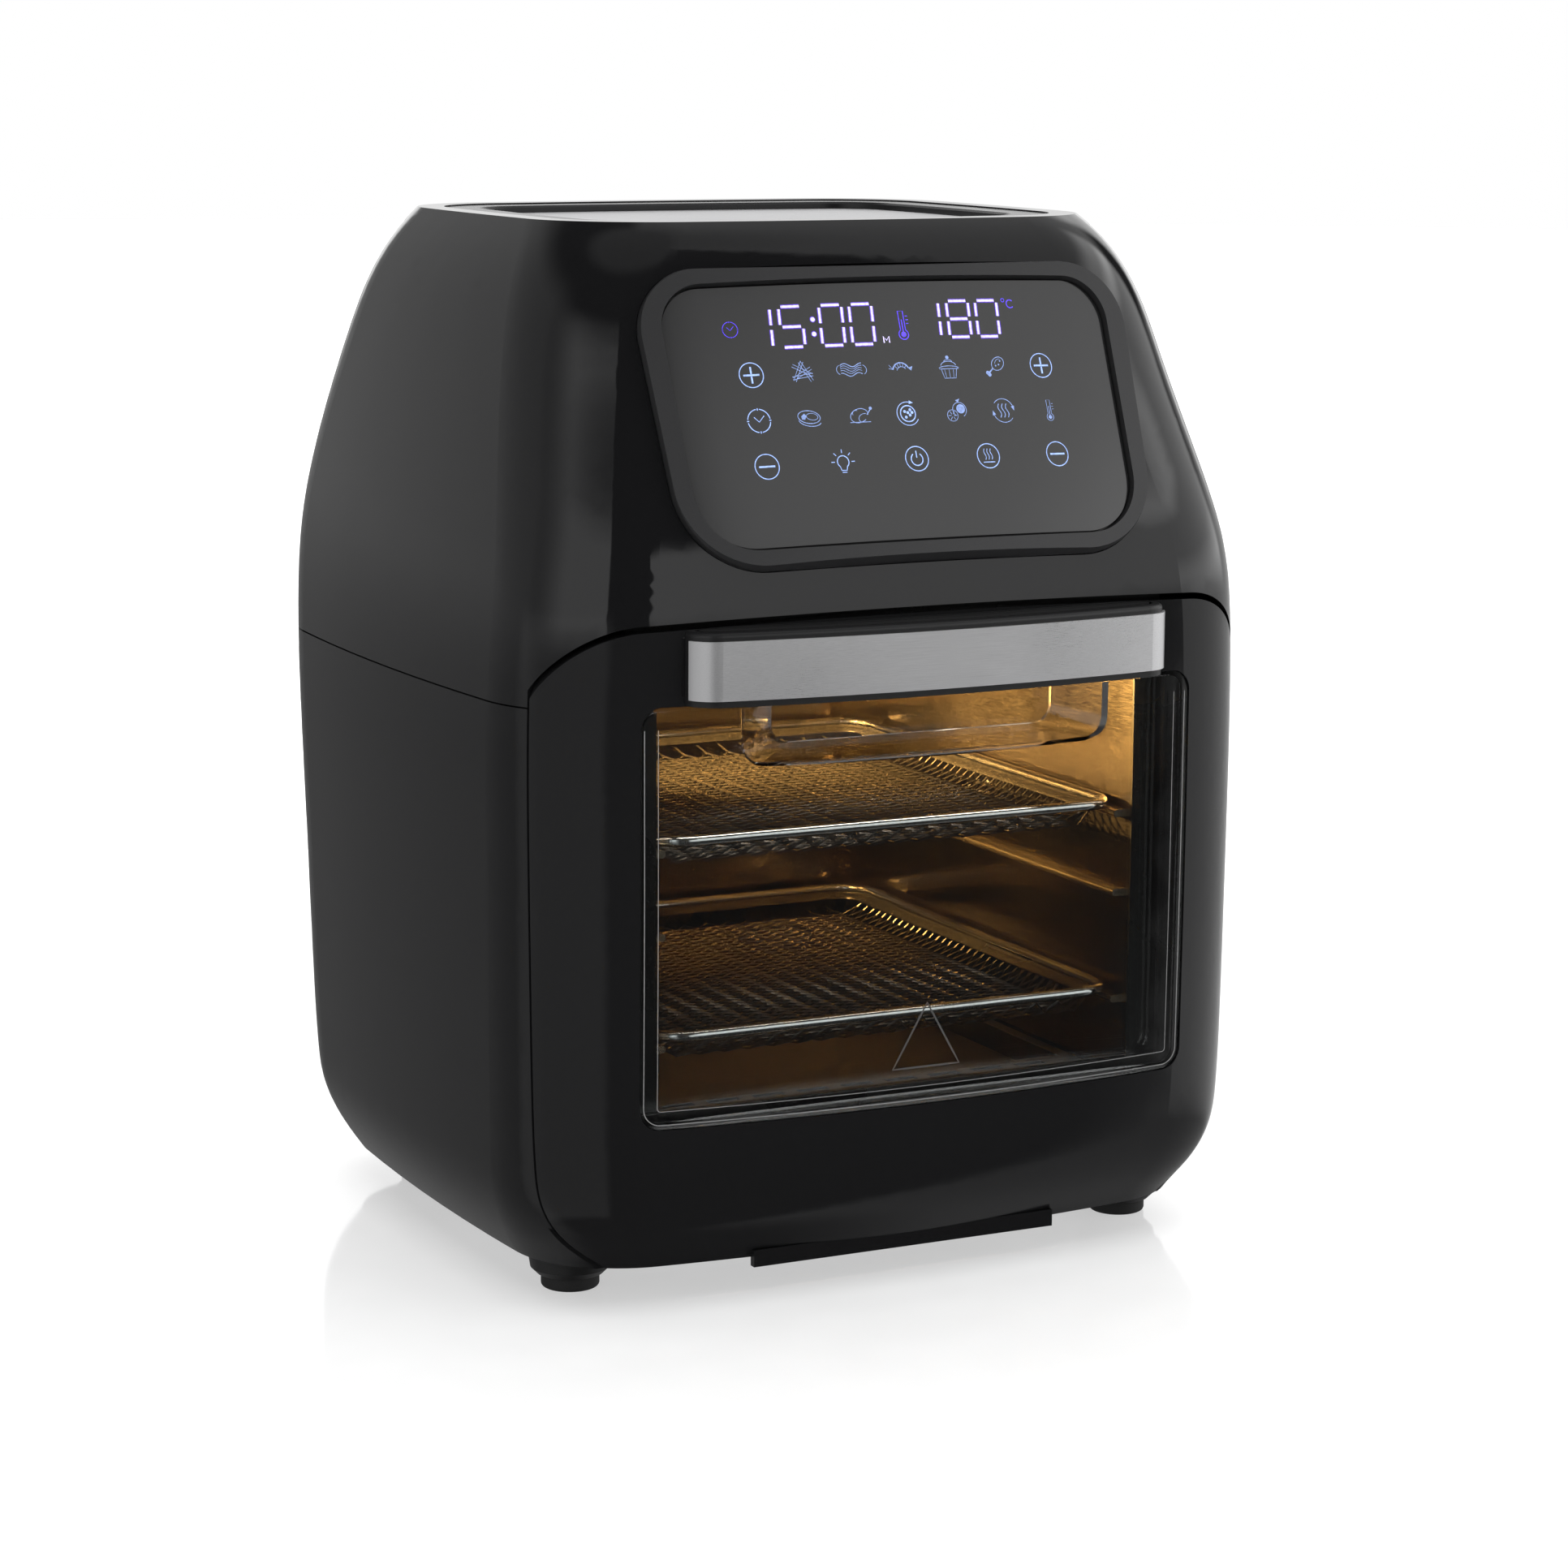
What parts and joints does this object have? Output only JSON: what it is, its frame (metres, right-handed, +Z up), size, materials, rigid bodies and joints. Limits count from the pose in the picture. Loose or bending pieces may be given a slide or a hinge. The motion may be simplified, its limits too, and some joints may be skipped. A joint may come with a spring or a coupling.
{
  "type": "countertop air fryer oven",
  "caption": "Upright counter-top oven with a leaning touch panel, a drop-down window door with a bar handle, mesh trays, a drip tray and a fan in the roof.",
  "frame": {"origin": "on the table under the middle of the oven's overall box", "axes": "+Z up; the door and the control panel face -Y; +X to the right of someone facing the door"},
  "size_m": [0.3166, 0.3127, 0.394],
  "materials": {
    "upper_shell": "glossy black moulding",
    "lower_shell": "glossy black moulding",
    "door_shell": "glossy black moulding",
    "top_trim": "satin black trim ring",
    "top_steel": "brushed top plate",
    "bezel_grey": "satin dark grey",
    "touch_panel": "gloss panel with lit symbols",
    "black_plastic": "fine textured black plastic",
    "clear_window": "clear moulded pane",
    "inner_glass": "tempered clear pane",
    "handle_steel": "brushed band",
    "screw_steel": "zinc plated",
    "hinge_steel": "zinc plated sheet",
    "black_enamel": "semi-gloss black enamel",
    "liner_steel": "stainless sheet",
    "rail_steel": "pressed stainless rail",
    "wire_steel": "bright wire",
    "mesh_steel": "pierced tray sheet",
    "drip_enamel": "dark coated tray",
    "heater_sheath": "oxidised heater sheath",
    "fan_metal": "stamped sheet",
    "fan_nylon": "moulded nylon",
    "motor_steel": "laminated steel",
    "galvanised": "galvanised sheet",
    "ceramic_white": null,
    "lamp_glass": "frosted lens",
    "bulb_glass": "warm bulb",
    "probe_steel": "stainless sheath",
    "board_green": "printed board",
    "switch_plastic": "light moulding",
    "foot_rubber": "moulded rubber"
  },
  "bodies": {
    "oven": {"upper_housing": "upper_shell", "lower_housing": "lower_shell", "top_ring": "top_trim", "top_plate": "top_steel", "rear_grille": "black_plastic", "cord_gland": "black_plastic", "base_plate": "galvanised", "foot_bodies": "black_plastic", "foot_pads": "foot_rubber", "base_screws": "screw_steel", "control_bezel": "bezel_grey", "touch_glass": "touch_panel", "display_board": "board_green", "hinge_brackets": "hinge_steel", "front_frame": "black_enamel", "cavity_liner": "liner_steel", "tray_rails": "rail_steel", "coil_guard": "liner_steel", "heating_coil": "heater_sheath", "coil_terminals": "ceramic_white", "fan_motor": "motor_steel", "motor_bracket": "galvanised", "air_baffle": "galvanised", "exhaust_duct": "galvanised", "lamp_lens": "lamp_glass", "lamp_bulb": "bulb_glass", "lamp_socket": "ceramic_white", "temperature_probe": "probe_steel", "thermal_cutout": "ceramic_white", "spit_motor": "motor_steel", "spit_fork": "rail_steel", "door_switch": "switch_plastic", "power_board": "board_green", "board_standoffs": "fan_nylon", "terminal_block": "switch_plastic"},
    "door": {"door_frame": "door_shell", "door_window": "clear_window", "door_inner_frame": "black_enamel", "door_glass": "inner_glass", "handle_grip": "black_plastic", "handle_trim": "handle_steel", "handle_screws": "screw_steel", "hinge_arms": "hinge_steel", "hinge_pins": "screw_steel", "door_strike": "hinge_steel"},
    "fan": {"motor_shaft": "screw_steel", "hot_air_fan": "fan_metal", "cooling_fan": "fan_nylon"},
    "spit_drive": {"spit_coupling": "probe_steel"},
    "upper_tray": {"upper_tray_rim": "wire_steel", "upper_tray_mesh": "mesh_steel"},
    "lower_tray": {"lower_tray_rim": "wire_steel", "lower_tray_mesh": "mesh_steel"},
    "drip_pan": {"drip_tray": "drip_enamel"},
    "plunger": {"switch_plunger": "switch_plastic"}
  },
  "joints": [
    {"name": "door_hinge", "type": "hinge", "parent": "oven", "child": "door", "pos_m": [0, -0.1165, 0.024], "axis": [1, 0, 0], "range_deg": [0, 85]},
    {"name": "fan_spin", "type": "hinge", "parent": "oven", "child": "fan", "pos_m": [0, -0.002, 0.25], "axis": [0, 0, 1], "continuous": true},
    {"name": "spit_spin", "type": "hinge", "parent": "oven", "child": "spit_drive", "pos_m": [0.1, -0.002, 0.154], "axis": [1, 0, 0], "continuous": true},
    {"name": "upper_tray_slide", "type": "slide", "parent": "oven", "child": "upper_tray", "axis": [0, -1, 0], "range_m": [0, 0.0035]},
    {"name": "lower_tray_slide", "type": "slide", "parent": "oven", "child": "lower_tray", "axis": [0, -1, 0], "range_m": [0, 0.0035]},
    {"name": "drip_tray_slide", "type": "slide", "parent": "oven", "child": "drip_pan", "axis": [0, -1, 0], "range_m": [0, 0.0035]},
    {"name": "switch_travel", "type": "slide", "parent": "oven", "child": "plunger", "axis": [0, 1, 0], "range_m": [0, 0.0015], "stiffness_N_per_m": 150}
  ]
}
